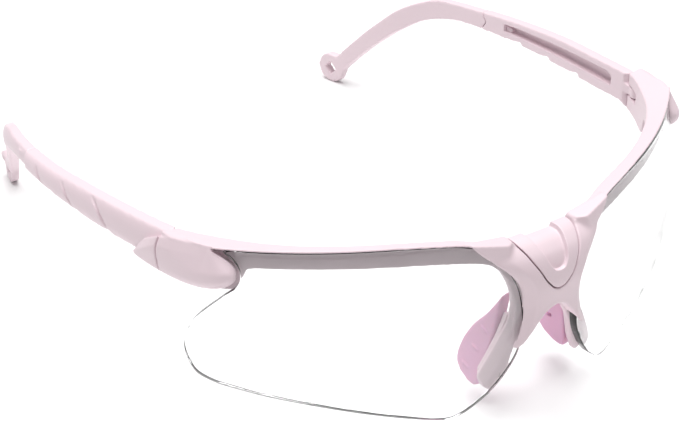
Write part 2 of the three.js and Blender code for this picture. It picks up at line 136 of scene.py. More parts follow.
# ---- outlines ----
def curve(points, count):
    """Points at even steps of parameter along a smooth curve through the points given."""
    last = len(points) - 1
    result = []
    for step in range(count + 1):
        place = step / count * last
        i = min(int(place), last - 1)
        t = place - i
        run = [points[max(i - 1, 0)], points[i], points[i + 1], points[min(i + 2, last)]]
        weights = (-0.5 * t + t * t - 0.5 * t ** 3, 1 - 2.5 * t * t + 1.5 * t ** 3,
                   0.5 * t + 2 * t * t - 1.5 * t ** 3, -0.5 * t * t + 0.5 * t ** 3)
        result.append(tuple(sum(w * p[axis] for w, p in zip(weights, run)) for axis in range(len(run[0]))))
    return result


def between(points, value, axis=0):
    """The other coordinate of a polyline where one coordinate has this value."""
    run = sorted(points, key=lambda p: p[axis])
    for a, b in zip(run, run[1:]):
        if value <= b[axis]:
            part = max(0.0, (value - a[axis]) / max(b[axis] - a[axis], 1e-9))
            return a[1 - axis] + part * (b[1 - axis] - a[1 - axis])
    return run[-1][1 - axis]


def smoothstep(value, low, high):
    t = min(1.0, max(0.0, (value - low) / (high - low)))
    return t * t * (3 - 2 * t)


def to_edge(points, a, b):
    """Distance from a place to a polyline."""
    best = 1e9
    for (x0, z0), (x1, z1) in zip(points, points[1:]):
        dx, dz = x1 - x0, z1 - z0
        t = min(1.0, max(0.0, ((a - x0) * dx + (b - z0) * dz) / (dx * dx + dz * dz + 1e-12)))
        best = min(best, (a - x0 - t * dx) ** 2 + (b - z0 - t * dz) ** 2)
    return sqrt(best)


# ---- modelling by hand, in millimetres ----
def select_only(piece):
    bpy.ops.object.select_all(action="DESELECT")
    piece.select_set(True)
    bpy.context.view_layer.objects.active = piece


@contextmanager
def editing(piece):
    """Edit mode with everything selected."""
    select_only(piece)
    bpy.ops.object.mode_set(mode="EDIT")
    bpy.ops.mesh.select_all(action="SELECT")
    yield
    bpy.ops.object.mode_set(mode="OBJECT")


def apply_modifier(piece, kind, **settings):
    modifier = piece.modifiers.new(kind.lower(), kind)
    for name, value in settings.items():
        setattr(modifier, name, value)
    select_only(piece)
    bpy.ops.object.modifier_apply(modifier=modifier.name)
    if not piece.data.polygons:
        raise RuntimeError(f"{kind} left nothing of {piece.name}")
    return piece


def combine(operation, piece, *tools):
    for tool in tools:
        apply_modifier(piece, "BOOLEAN", operation=operation, solver="MANIFOLD", object=tool)
        bpy.data.objects.remove(tool)
    return piece


def join(piece, *tools):
    return combine("UNION", piece, *tools)


def cut(piece, *tools):
    return combine("DIFFERENCE", piece, *tools)


def common(piece, *tools):
    return combine("INTERSECT", piece, *tools)


def prism(outline, axis, low, high, steps=1):
    """An outline of the other two axes, extruded along one axis from low to high."""
    index = "XYZ".index(axis)
    bpy.ops.mesh.primitive_circle_add(vertices=len(outline), fill_type="NGON")
    piece = bpy.context.object
    for vertex, pair in zip(piece.data.vertices, outline):
        place = list(pair)
        place.insert(index, low)
        vertex.co = place
    move = Vector((0, 0, 0))
    move[index] = (high - low) / steps
    with editing(piece):
        for _ in range(steps):
            bpy.ops.mesh.extrude_region_move(TRANSFORM_OT_translate={"value": move})
        bpy.ops.mesh.select_all(action="SELECT")
        bpy.ops.mesh.normals_make_consistent(inside=False)
    return piece


def block(x, y, z):
    return prism([(x[0], y[0]), (x[1], y[0]), (x[1], y[1]), (x[0], y[1])], "Z", *z)


def ball(radius, centre, segments):
    bpy.ops.mesh.primitive_uv_sphere_add(segments=segments, ring_count=segments // 2, radius=radius,
                                         location=centre)
    bpy.ops.object.transform_apply()
    return bpy.context.object


def post(radius, low, high, place=PIN):
    bpy.ops.mesh.primitive_cylinder_add(vertices=48, radius=radius, depth=high - low,
                                        location=(*place, (low + high) / 2))
    bpy.ops.object.transform_apply()
    return bpy.context.object


def bean(centre, half_axes, yaw=0.0, pitch=0.0):
    """A small ellipsoid, turned about Z and then about X."""
    bpy.ops.mesh.primitive_uv_sphere_add(segments=24, ring_count=16, radius=1, location=centre,
                                         rotation=(pitch, 0, yaw), scale=half_axes)
    bpy.ops.object.transform_apply()
    return bpy.context.object


def remesh(piece, cell):
    return apply_modifier(piece, "REMESH", mode="VOXEL", voxel_size=cell)


def move_vertices(piece, where):
    for vertex in piece.data.vertices:
        vertex.co = where(*vertex.co)
    return piece


def moulded(piece, cell, passes, keep=0.6):
    """A fine even surface with soft edges, as it leaves the mould, thinned where it is flat."""
    remesh(piece, cell)
    apply_modifier(piece, "SMOOTH", factor=0.5, iterations=passes)
    return apply_modifier(piece, "DECIMATE", ratio=keep)


def mirrored(piece):
    """The wearer's right-hand copy, with its own mesh and its faces outwards."""
    select_only(piece)
    bpy.ops.object.duplicate()
    twin = bpy.context.object
    twin.data.transform(Matrix.Scale(-1, 4, (1, 0, 0)))
    with editing(twin):
        bpy.ops.mesh.flip_normals()
    return twin


def place(piece, name, material, slot, body, node):
    """Brings a piece from millimetres to its place in metres and hands it to the frame."""
    piece.scale = (0.001, 0.001, 0.001)
    piece.location = (0, seam_y * 0.001, 0)
    select_only(piece)
    bpy.ops.object.transform_apply()
    bpy.ops.object.shade_smooth()
    piece.name = name
    piece.data.name = name
    piece.data.materials.clear()
    piece.data.materials.append(material)
    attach(piece, body)
    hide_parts(node)
    return piece


def place_pair(piece, name, material, slot, bodies, node):
    """Places a left-hand piece and its right-hand twin."""
    twin = mirrored(piece)
    left = place(piece, f"{name}_left", material, slot, bodies[0], f"{node}_left")
    right = place(twin, f"{name}_right", material, slot, bodies[1], f"{node}_right")
    return left, right


# ---- lens ----
def lens_outline(grow):
    """Along the top, down the notch round the hub, round the end, along the bottom and up the nose side."""
    top = curve([(13, 40.6 + grow), (17, 43.4 + grow), (22, 44.8 + grow), (29, 45.5 + grow),
                 (37, LENS_TOP_Z + grow), (50, LENS_TOP_Z + grow), (64.6 + grow, LENS_TOP_Z + grow)], 50)
    notch = curve([(64.4 + grow, 45.1), (63.4 + grow, 44), (62.7 + grow, 42.4), (62.5 + grow, 40.8),
                   (62.8 + grow, 39.1), (63.8 + grow, 37.3)], 24)
    outer = curve([(65.6 + grow, 35.7), (70.8 + grow, 29.4), (72.7 + grow, 23), (71.2 + grow, 16),
                   (67.5, 13 - grow)], 40)
    bottom = curve([(60, 10.4 - grow), (50, 7.5 - grow), (41.4, 4.9 - grow), (31.5, 2 - grow),
                    (24, 0.02 - grow), (20, 1.1 - grow), (14.8, 5.6 - grow)], 60)
    inner = curve([(12 - grow, 9.3), (8.6 - grow, 16), (7.6 - grow, 24), (8.6 - grow, 32),
                   (10.4 - grow, 36.5)], 40)
    return top + notch + outer + bottom + inner


def radial(outline):
    """An outline on the lens, drawn out along the lines from the middle of the lens ball."""
    piece = prism(outline, "Y", 0, 1)
    middle = Vector(LENS_CENTRE)

    def where(x, y, z):
        on_lens = Vector((x, on_ball(LENS_RADIUS, LENS_CENTRE, x, z), z))
        return middle + (on_lens - middle) * (1.1 if y < 0.5 else 0.86)

    return move_vertices(piece, where)


def lens_ball(radius):
    return ball(radius, LENS_CENTRE, FINE)


def lens_layer(outer, inner):
    return cut(lens_ball(outer), lens_ball(inner))


def on_ball(radius, centre, x, z):
    """Y of the front of a ball."""
    rest = radius ** 2 - (x - centre[0]) ** 2 - (z - centre[2]) ** 2
    return centre[1] - sqrt(max(rest, 0.0))


def evenly(points, count):
    """A closed outline stepped again at even lengths."""
    ring = points + points[:1]
    lengths = [0.0]
    for a, b in zip(ring, ring[1:]):
        lengths.append(lengths[-1] + sqrt((a[0] - b[0]) ** 2 + (a[1] - b[1]) ** 2))
    result = []
    k = 0
    for step in range(count):
        goal = lengths[-1] * step / count
        while lengths[k + 1] < goal:
            k += 1
        t = (goal - lengths[k]) / max(lengths[k + 1] - lengths[k], 1e-9)
        result.append(tuple(ring[k][axis] * (1 - t) + ring[k + 1][axis] * t for axis in (0, 1)))
    return result


def make_lens(thick):
    """A piece of a clear ball, with its edge taken off all round."""
    lens = common(lens_layer(LENS_RADIUS, LENS_RADIUS - thick), radial(evenly(lens_outline(0), 360)))
    with editing(lens):
        bpy.ops.mesh.remove_doubles(threshold=0.08)
    return apply_modifier(lens, "BEVEL", width=0.25, segments=3, limit_method="ANGLE",
                          angle_limit=radians(50), use_clamp_overlap=False)


# ---- brow frame ----
REAR_EDGE = [(0, -42.4), (8, -42.7), (15, -41.9), (21.3, -39.4), (33.9, -34.4), (45, -27.7), (54.8, -19),
             (62.8, -7.5), (66.2, SEAM_FRONT_Y)]
STRIP_TOP = [(12, 43.2), (19.6, 45.1), (24.5, 45.8), (32, 46.4), (40, 46.6), (60, 46.6), (84, 46.6)]
WALL_BOTTOM = [(85.5, 36.1), (68, 36.1), (64.5, 36.4), (63.3, 37.6), (62.6, 39), (61.9, 40.8), (60.8, 41.7),
               (56.4, 41.8), (49.2, 41.8), (38, 41.6), (26.8, 41), (17.3, 39.7), (12.5, 37.8)]
WING_EDGE = [(19.6, 45.2), (18.4, 43.6), (15.4, 40.6), (11.6, 37.2), (9.4, 34), (8.5, 30.5), (8.7, 26),
             (9.6, 22), (10.8, 19.2)]


def brow_bar():
    """The top strip with its lip over the lens, and the wall behind the lens with its rounded ear."""
    top = curve(STRIP_TOP, 90)
    under_lip = [(x, z - LIP_THICK) for x, z in reversed(top)]
    bottom = curve(WALL_BOTTOM, 120)
    depth = curve(REAR_EDGE, 90)
    depth += [(70.4, SEAM_FRONT_Y), (70.2, -4), (69.1, -7.2), (67.5, -11.9), (66.3, -14.2), (66, -60),
              (0, -60)]
    fall = [(0, 50), (0, 20), (90, 20), (90, 42), (72, 44.2), (68.4, 45.6), (64, 50)]
    strip = common(radial(top + under_lip), lens_ball(LIP_RADIUS))
    wall = common(radial(top + bottom), lens_ball(POCKET_BACK))
    return common(join(strip, wall), prism(depth, "Z", 30, 50), prism(fall, "Y", -70, 10))


def bridge_core():
    """Where the two halves of the strip meet over the nose."""
    outline = [(0, 41.6), (8, 42.6), (15, 43.9), (15, 39), (11, 36.5), (6, 35), (0, 35)]
    depth = curve(REAR_EDGE[:4], 16) + [(21.3, -42.5), (18.5, -43.5), (9, -46), (0, -47)]
    return common(prism(outline, "Y", -60, 10), prism(depth, "Z", 30, 50))


def bullet():
    """The hub's own form, fatter at its nose."""
    nose, tail = Vector(HUB_NOSE), Vector(HUB_TAIL)
    axis = (nose - tail).normalized()
    across = axis.cross(Vector((0, 0, 1))).normalized()
    up = axis.cross(across)

    def where(x, y, z):
        radius = HUB_RADIUS * (1 + HUB_TAPER * z)
        return (nose + tail) / 2 + axis * z * (nose - tail).length / 2 + across * x * radius + up * y * radius

    return move_vertices(ball(1, (0, 0, 0), 72), where)


def filled_out(ridge, bulge, front_y):
    """The bullet behind a place, filled out to a ridge and to a softer line outside it."""
    piece = common(bullet(), block((40, 90), (front_y, 40), (20, 60)))
    line = curve(ridge, 24)
    line += [(x + bulge, y - 0.2, z - 2.1) for x, y, z in line]
    first = len(piece.data.vertices)
    piece.data.vertices.add(len(line))
    for vertex, point in zip(piece.data.vertices[first:], line):
        vertex.co = point
    with editing(piece):
        bpy.ops.mesh.convex_hull()
    return piece


def hub():
    """The bullet over the hinge, whose nose stands free over the notch in the lens."""
    return join(filled_out(HUB_NOSE_RIDGE, 0.7, -30), filled_out(HUB_SHOULDER, 1.0, HUB_SHOULDER[0][1]))


def bridge_body(outwards):
    """The body behind the front of the bridge, with that front moved outwards."""
    profile = curve(BRIDGE_PROFILE, 60)
    moved = []
    for i, (y, z) in enumerate(profile):
        (y0, z0), (y1, z1) = profile[max(i - 1, 0)], profile[min(i + 1, 60)]
        length = sqrt((y1 - y0) ** 2 + (z1 - z0) ** 2)
        moved.append((y - (z1 - z0) / length * outwards, z + (y1 - y0) / length * outwards))
    body = prism(moved + [(-30, 42.5), (-30, 14)], "X", -30, 30, steps=40)
    return move_vertices(body, lambda x, y, z: (x, y + x * x / (2 * BRIDGE_BOW), z))


def make_bridge():
    """Two wings up to the strip and two legs beside the nose, with a bevel down the outer side."""
    outward = [(9, -30), (9, -45.8), (12.5, -48.2), (30, -60), (30, -30)]
    wing = common(lens_ball(COVER_RADIUS), prism(outward, "Z", 30, 50))
    bridge = common(join(bridge_body(0), wing), block((-3, 24), (-60, -36), (14.5, 49)))
    remesh(bridge, 0.3)
    apply_modifier(bridge, "SMOOTH", factor=0.5, iterations=12)
    outer = curve(WING_EDGE, 44)
    tip = curve([(10.6, 18.2), (9.6, 17.9), (8.6, 18.6)], 8)
    inner = curve([(6.6, 21), (4.2, 24.2), (2.2, 26.2), (0, 26.9), (-1, 27)], 16)
    behind = [(-60, 50), (-42.5, 50), (-42.5, 40), (-45.4, 34), (-46.4, 26), (-47, 16), (-60, 16)]
    common(bridge, prism([(-1, 43), (0, 43), (8, 43.2)] + outer + tip + inner, "Y", -60, -30),
           prism(behind, "X", -2, 30))
    profile = [(z, y) for y, z in curve(BRIDGE_PROFILE[:-1], 60)]

    def where(x, y, z):
        strength = smoothstep(44 - z, 0, 9)
        bevel = max(0.0, 1 - to_edge(outer, x, z) / 2.4) * 1.5 * strength
        front = between(profile, z) + x * x / (2 * BRIDGE_BOW)
        depth = min(1.0, max(0.0, (y - front) / 3))
        return x, y + bevel * (1 - depth), z

    return move_vertices(remesh(bridge, 0.3), where)


def nose_plate():
    """The plate behind the inner edge of the lens, its outer half bevelled back."""
    outer = curve([(18, 40.6), (13.4, 38), (10.9, 35), (9.4, 31), (9.1, 27), (9.9, 23), (11.8, 19.1),
                   (15.9, 10.6)], 48)
    end = curve([(15.9, 9.4), (14.8, 7.2), (13.1, 6.1), (11.4, 7.2)], 16)
    inner = [(10.1, 10.1), (8.5, 16.7), (5.6, 22), (4, 26), (4, 40.6)]
    plate = prism(outer + end + inner, "Y", 0, 3)
    remesh(plate, 0.4)

    def where(x, y, z):
        front = on_ball(POCKET_BACK, LENS_CENTRE, x, z)
        bevel = max(0.0, 1 - to_edge(outer, x, z) / 2.4) * 0.9 * smoothstep(30 - z, 0, 6)
        back = on_ball(POCKET_BACK - PLATE_THICK, LENS_CENTRE, x, z)
        return x, front + bevel + y / 3 * (back - front - bevel), z

    return move_vertices(plate, where)


def bridge_web():
    """Between the legs and the plates, inboard of the lens edge, the frame is solid."""
    outline = [(-1, 41.5), (0, 41.6), (7, 42), (7, 21), (6.4, 21.4), (4.6, 25), (2.4, 27.4), (0, 28.2),
               (-1, 28.2)]
    layer = common(lens_ball(COVER_RADIUS), bridge_body(-1))
    cut(layer, lens_ball(POCKET_BACK - PLATE_THICK))
    return common(layer, prism(outline, "Y", -60, -30))


def hinge_cuts():
    return [
        block((60, 80), (SEAM_FRONT_Y, 40), (20, 60)),
        block((58, 69.8), (-6.3, 2), (38.5, 41.5)),
        post(0.9, 30, 43.2),
        post(1.6, 30, 36.2),
        post(1.65, 41.4, 43.2),
    ]


def both_sides(edge):
    return edge + [(-x, z) for x, z in reversed(edge[:-1])]


def cap_edge(grow):
    return both_sides(curve([(8.3 + grow, 43.5), (8.1 + grow, 42.4), (7.1 + grow, 40.7), (6.3 + grow, 39.1),
                             (4.8 + grow, 36.6), (3.6 + grow, 34.5), (1.6 + grow * 0.8, 32.3 - grow * 0.5),
                             (0, 31.7 - grow)], 42))


def make_frame(cell, passes):
    side = curve(REAR_EDGE, 60) + [(90, SEAM_FRONT_Y), (90, -70), (0, -70)]
    hinge = common(hub(), prism(side, "Z", 25, 60))
    half = join(brow_bar(), bridge_core(), hinge, make_bridge(), nose_plate(), bridge_web())
    pocket = common(lens_layer(LENS_RADIUS + GAP, POCKET_BACK), radial(lens_outline(GAP)))
    cut(half, pocket, *hinge_cuts())
    common(half, block((0, 90), (-80, 40), (-5, 60)))
    whole = join(half, mirrored(half))
    cut(whole, common(cut(bridge_body(6), bridge_body(-2.5)), prism(cap_edge(CAP_SLOT), "Y", -60, -38)))
    return moulded(whole, cell, passes)


# ---- bridge cap ----
def make_cap(passes):
    """The cover in the middle of the bridge, with its sunken scoop open at the top."""
    cap = common(cut(bridge_body(-0.1), bridge_body(-2.2)), prism(cap_edge(0), "Y", -60, BRIDGE_REAR_Y))
    edge = both_sides(curve([(4.3, 44), (4.2, 42.5), (3.3, 40.3), (2.6, 38.2), (1.9, 37), (1.1, 36.3),
                             (0, 36.1)], 30))
    cut(cap, common(cut(bridge_body(2), bridge_body(-SCOOP_DEPTH)), prism(edge, "Y", -60, -38)))
    return moulded(cap, 0.14, passes)


# ---- nose pad and its carrier ----
def make_carrier(cell, passes):
    outline = [(8.4, 24.6), (9.2, 24.6), (11.2, 19.1), (14.8, 11), (14.6, 9.2), (13.2, 7.6), (12.2, 7.8),
               (11, 10.4), (9.4, 16), (8.3, 21)]
    carrier = common(lens_layer(CARRIER_FRONT, CARRIER_FRONT - CARRIER_THICK), prism(outline, "Y", -60, -30))
    return moulded(carrier, cell * 0.7, passes)


def pad_lean(z):
    """Middle of the pad's thickness, and half of that thickness, at a height."""
    part = (32 - z) / 28
    return 7.6 + part * 5.8, 1.2 + part * 0.25


def make_pad(cell):
    """A soft leaf with a neck up to the bridge, three ridges outside and six dimples inside."""
    rear = curve([(-44.2, 32.2), (-43.2, 29.4), (-41.8, 26.6), (-39.3, 22.4), (-36.1, 18.2), (-33.9, 13.6),
                  (-33.2, 9.6), (-34, 7.2), (-36.4, 5.7), (-39.5, 5.1), (-41.8, 5.7)], 60)
    leaf = prism(rear + [(-48, 6), (-48, 32.2)], "X", 0, 1)
    leaf.data.transform(Matrix.Translation((4, 0, 0)) @ Matrix.Scale(16, 4, (1, 0, 0)))
    lean = [(pad_lean(32.6)[0] - 1.2, 32.6), (pad_lean(32.6)[0] + 1.2, 32.6),
            (pad_lean(4)[0] + 1.45, 4), (pad_lean(4)[0] - 1.45, 4)]
    common(leaf, prism(lean, "Y", -60, -20), lens_ball(PAD_FRONT))
    neck_gap = prism([(-60, 25.6), (-44.2, 25.9), (-43.7, 27.4), (-44.6, 29.2), (-60, 29.6)], "X", 0, 30)
    cut(leaf, neck_gap)
    moulded(leaf, cell * 1.4, 14, keep=1)
    for y, z in ((-40.2, 18.9), (-38.6, 13.6), (-36.9, 8.4)):
        middle, half = pad_lean(z)
        join(leaf, bean((middle + half - 0.1, y, z), (0.4, 1.5, 0.42), pitch=0.18))
    for row, (y, z) in enumerate(((-39.4, 20.3), (-38.4, 16.6), (-37.4, 12.9))):
        for step in (0.0, 3.4):
            height = z - step * 0.18
            middle, half = pad_lean(height)
            cut(leaf, bean((middle - half + 0.05, y + step - row * 0.2, height), (0.9, 1.0, 0.5), pitch=-0.6))
    return moulded(leaf, cell, 3, keep=0.8)


# ---- temple ----
INNER_FACE = [(65.7, SEAM_REAR_Y), (66.6, 5.7), (68.1, 17.8), (69.3, 30.5), (69.9, 45.4), (69.6, 55),
              (69, 63)]
ARM_TOP = [(SEAM_REAR_Y, 44.1), (11.6, 42.9), (30.5, 41.2), (45.4, 39.4), (63, 37.3)]
SCALLOPS = [(46, 33.0, 0.9), (34, 33.4, 1.0), (21, 34.0, 1.1)]


def offset_x(points, distance):
    return [(x + distance, y) for x, y in points]


def crowned(piece, face, thick, top, bottom, crown):
    """Bulges the outer face: its top and bottom edges fall back towards the inner face."""
    def where(x, y, z):
        low, high = between(bottom, y), between(top, y)
        across = (z - (low + high) / 2) / ((high - low) / 2)
        outward = max(0.0, (x - between(face, y, 1)) / thick)
        return x - outward * crown * min(1.2, abs(across)) ** 2.4, y, z
    return move_vertices(remesh(piece, 0.45), where)


def chevron(offset, far):
    """The arrow-shaped parting line, closed off on its far side."""
    y, z = CHEVRON[0] + offset, CHEVRON[1]
    return [(y, z + 12), (y, z + 3), (y - 2, z), (y, z - 3), (y, z - 12), (far, 20), (far, 60)]


def arc(centre, radius, start, end, count):
    return [(centre[0] + radius * cos(start + (end - start) * i / count),
             centre[1] + radius * sin(start + (end - start) * i / count)) for i in range(count + 1)]


def outer_grooves():
    """Three shallow curved grooves across the outer face."""
    tools = []
    for y, z in ((52, 34.6), (37, 35), (22, 36)):
        centre = (y + 26 * 0.75, z - 26 * 0.66)
        ring = arc(centre, 26.9, pi * 0.66, pi * 0.86, 24) + arc(centre, 26, pi * 0.86, pi * 0.66, 24)
        surface = between(INNER_FACE, y, 1) + TEMPLE_THICK
        tools.append(prism(ring, "X", surface - 0.55, 82))
    return tools


def make_arm(crown, cell, passes):
    top = curve(ARM_TOP, 40)
    bottom = [(63, 32.2), (54, 32.7)]
    for y, z, step in SCALLOPS:
        bottom += [(y + 4, z), (y + 1.5, z + step * 0.55), (y, z + step), (y - 0.6, z)]
    bottom += [(12, 34.6), (5, 35.4), (SEAM_REAR_Y, 35.8)]
    inner = curve(INNER_FACE, 40)
    outer = curve(offset_x(INNER_FACE, TEMPLE_THICK), 40)
    arm = common(prism(outer[::-1] + inner, "Z", 25, 50), prism(top + bottom, "X", 60, 80))
    crowned(arm, inner, TEMPLE_THICK, ARM_TOP, [(0, 35.4), (20, 34), (45, 33), (63, 32.2)], crown)
    outside = inner + [(80, 63), (80, SEAM_REAR_Y)]
    join(arm, common(hub(), prism(outside, "Z", 25, 50)))
    floor = curve(offset_x(INNER_FACE, 2.2), 30)
    channel = prism([(6.4, 40.6), (8.4, 41.4), (53, 36.9), (53, 34.8), (6.4, 38)], "X", 60, 76)
    common(channel, prism(floor + [(60, 63), (60, SEAM_REAR_Y)], "Z", 25, 50))
    chamfer = prism([(64, 3.2), (64, -1), (67.6, -1)], "Z", 30, 50)
    cut(arm, prism(chevron(0, 100), "X", 50, 90), chamfer, channel, *outer_grooves())
    tongue = join(post(2.2, 38.8, 41.2), block((65.9, 69.2), (-3.4, 1), (38.8, 41.2)))
    join(arm, cut(tongue, post(0.9, 30, 60)))
    return moulded(arm, cell, passes)


TIP_TOP = [(58, 38.1), (63, 37.3), (72, 36.4), (80, 35.2), (90, 30.2), (98, 22.9), (106, 14.2), (110.6, 8.8)]
TIP_BOTTOM = [(108, 5.4), (104, 10), (98, 16.3), (91, 22.6), (83, 28), (73, 31.2), (63, 32.2), (58, 32.4)]
TIP_FACE = [(69.7, 58), (69, 63), (67.6, 73), (65, 83), (61, 92), (56.8, 101), (53.9, 108)]


def make_tip(crown, cell, passes):
    """The rear section, bent down and inwards to a flat ring with a square hole on its corner."""
    ring = arc(EYELET, EYELET_RADIUS, pi * 0.45, -pi * 0.9, 36)
    profile = curve(TIP_TOP, 50) + ring + curve(TIP_BOTTOM, 50)
    face = curve(TIP_FACE, 50) + [(51.4, 118.5)]
    far = offset_x(face, TIP_THICK)
    tip = common(prism(profile, "X", 40, 90), prism(far[::-1] + face, "Z", -5, 50))
    crowned(tip, face, TIP_THICK, TIP_TOP, TIP_BOTTOM, crown * 0.5)
    y, z = EYELET
    half = 2.1
    hole = prism([(y - half, z), (y, z + half), (y + half, z), (y, z - half)], "X", 40, 90)
    outer_x = between(face, y, 1) + TIP_THICK
    dish = post(3.3, -0.6, 3, place=(0, 0))
    dish.data.transform(Matrix.Translation((outer_x, y, z)) @ Matrix.Rotation(-0.235, 4, "Z")
                        @ Matrix.Rotation(pi / 2, 4, "Y"))
    cut(tip, prism(chevron(GAP, 30), "X", 40, 90), hole, dish)
    join(tip, block((70.7, 72.3), (50.5, 66.2), (33.9, 36.2)))
    return moulded(tip, cell, passes)


# ---- materials ----
def add_node(tree, kind, inputs=None, **settings):
    """Adds a node with its settings, and gives each named input a value or a link."""
    node = tree.nodes.new(kind)
    for name, value in settings.items():
        setattr(node, name, value)
    for name, value in (inputs or {}).items():
        if isinstance(value, bpy.types.NodeSocket):
            tree.links.new(value, node.inputs[name])
        else:
            node.inputs[name].default_value = value
    return node


def new_material(name):
    material = bpy.data.materials.new(name)
    material.use_nodes = True
    material.node_tree.nodes.clear()
    return material, material.node_tree


def finish_material(tree, shader):
    add_node(tree, "ShaderNodeOutputMaterial", {"Surface": shader.outputs["BSDF"]})


def grained_surface(name, colour, dark, cloud_size, grain_size, rough, strength, **extra):
    """A cloudy colour under an even grain that also roughens the gloss; lengths are in metres."""
    material, tree = new_material(name)
    place_on = add_node(tree, "ShaderNodeTexCoord").outputs["Object"]
    grain = add_node(tree, "ShaderNodeTexNoise", {"Vector": place_on, "Scale": 1 / grain_size, "Detail": 2.0})
    cloud = add_node(tree, "ShaderNodeTexNoise", {"Vector": place_on, "Scale": 1 / cloud_size, "Detail": 3.0})
    shade = add_node(tree, "ShaderNodeValToRGB", {"Fac": cloud.outputs["Fac"]})
    shade.color_ramp.elements[0].color = (*[c * dark for c in colour], 1)
    shade.color_ramp.elements[1].color = (*colour, 1)
    gloss = add_node(tree, "ShaderNodeMapRange", {
        "Value": grain.outputs["Fac"], "To Min": rough[0], "To Max": rough[1]})
    bump = add_node(tree, "ShaderNodeBump", {
        "Height": grain.outputs["Fac"], "Strength": strength, "Distance": grain_size / 10})
    shader = add_node(tree, "ShaderNodeBsdfPrincipled", {
        "Base Color": shade.outputs["Color"], "Roughness": gloss.outputs["Result"],
        "Normal": bump.outputs["Normal"], "IOR": 1.5, **extra})
    finish_material(tree, shader)
    return material


def moulded_satin_plastic(colour):
    """Injection-moulded nylon from a spark-eroded mould: satin, with a faint even grain."""
    # The real grain is about 0.1 mm; it is drawn at 0.45 mm, the finest that shows at this size.
    return grained_surface("moulded_satin_nylon", colour, 0.965, 0.018, 0.00045, (0.36, 0.5), 0.08)


def soft_pad_rubber(colour):
    """Moulded thermoplastic rubber: soft, slightly see-through at thin edges, dull."""
    # Fine matt texture, drawn at 0.5 mm so that it shows.
    glow = {"Subsurface Weight": 0.15, "Subsurface Scale": 0.0012}
    return grained_surface("moulded_soft_rubber", colour, 0.93, 0.006, 0.0005, (0.5, 0.64), 0.12, **glow)


def clear_polycarbonate(colour):
    """Hard-coated optical polycarbonate: clear, glossy, bending light strongly at its edges."""
    material, tree = new_material("clear_polycarbonate")
    place_on = add_node(tree, "ShaderNodeTexCoord").outputs["Object"]
    # The hard coat flows very slightly as it dries, over about 12 mm.
    flow = add_node(tree, "ShaderNodeTexNoise", {"Vector": place_on, "Scale": 1 / 0.012, "Detail": 1.0})
    gloss = add_node(tree, "ShaderNodeMapRange", {
        "Value": flow.outputs["Fac"], "To Min": 0.0, "To Max": 0.02})
    shader = add_node(tree, "ShaderNodeBsdfPrincipled", {
        "Base Color": (*colour, 1), "Roughness": gloss.outputs["Result"], "IOR": 1.586,
        "Transmission Weight": 1.0})
    finish_material(tree, shader)
    return material


def turned_metal(name, dark, light, rough):
    """Turned metal: fine rings round the pin's axis, left by the tool."""
    material, tree = new_material(name)
    place_on = add_node(tree, "ShaderNodeTexCoord").outputs["Object"]
    # Tool rings 0.12 mm apart, along the pin. A wave texture has 20 units of angle to one of its scale.
    rings = add_node(tree, "ShaderNodeTexWave", {
        "Vector": place_on, "Scale": 1 / 0.00012 / 20, "Distortion": 0.4}, bands_direction="Z")
    shade = add_node(tree, "ShaderNodeValToRGB", {"Fac": rings.outputs["Fac"]})
    shade.color_ramp.elements[0].color = (*linear(dark), 1)
    shade.color_ramp.elements[1].color = (*linear(light), 1)
    bump = add_node(tree, "ShaderNodeBump", {
        "Height": rings.outputs["Fac"], "Strength": 0.2, "Distance": 0.00002})
    shader = add_node(tree, "ShaderNodeBsdfPrincipled", {
        "Base Color": shade.outputs["Color"], "Roughness": rough, "Metallic": 1.0,
        "Normal": bump.outputs["Normal"]})
    finish_material(tree, shader)
    return material


def matt_sweep(colour):
    """Matt white paper sweep, with the faint cloudiness of paper."""
    material, tree = new_material("matt_paper_sweep")
    place_on = add_node(tree, "ShaderNodeTexCoord").outputs["Object"]
    cloud = add_node(tree, "ShaderNodeTexNoise", {"Vector": place_on, "Scale": 1 / 0.05, "Detail": 2.0})
    shade = add_node(tree, "ShaderNodeValToRGB", {"Fac": cloud.outputs["Fac"]})
    shade.color_ramp.elements[0].color = (*[c * 0.995 for c in colour], 1)
    shade.color_ramp.elements[1].color = (*colour, 1)
    shader = add_node(tree, "ShaderNodeBsdfPrincipled", {
        "Base Color": shade.outputs["Color"], "Roughness": 0.9, "Specular IOR Level": 0.1})
    finish_material(tree, shader)
    return material


def frame_plastic(context):
    """The one plastic of the frame and temples, made when it is first asked for."""
    made = bpy.data.materials.get("moulded_satin_nylon")
    return made or moulded_satin_plastic(context.scene.goggles_colours.plastic)


# ---- operators ----
class GOGGLES_OT_frame(bpy.types.Operator):
    """Models the brow frame with its bridge, nose plates and hinge hubs"""
    bl_idname = "goggles.frame"
    bl_label = "Brow frame"

    def execute(self, context):
        sizes = context.scene.goggles_sizes
        piece = make_frame(sizes.mould_cell, sizes.edge_passes)
        place(piece, "brow_frame_moulding", frame_plastic(context), "frame_plastic", "front", "brow_frame")
        return {"FINISHED"}


class GOGGLES_OT_cap(bpy.types.Operator):
    """Models the bridge cap with its scoop"""
    bl_idname = "goggles.cap"
    bl_label = "Bridge cap"

    def execute(self, context):
        piece = make_cap(context.scene.goggles_sizes.edge_passes)
        place(piece, "bridge_cap_moulding", frame_plastic(context), "frame_plastic", "front", "bridge_cap")
        return {"FINISHED"}


class GOGGLES_OT_lenses(bpy.types.Operator):
    """Models the two clear lenses"""
    bl_idname = "goggles.lenses"
    bl_label = "Lenses"

    def execute(self, context):
        material = clear_polycarbonate(context.scene.goggles_colours.lens)
        lens = make_lens(context.scene.goggles_sizes.lens_thick)
        for piece in place_pair(lens, "clear_lens", material, "clear_lens", ("front", "front"), "lens"):
            select_only(piece)
            bpy.ops.object.shade_smooth_by_angle(angle=radians(35))
            piece.visible_shadow = False
        return {"FINISHED"}


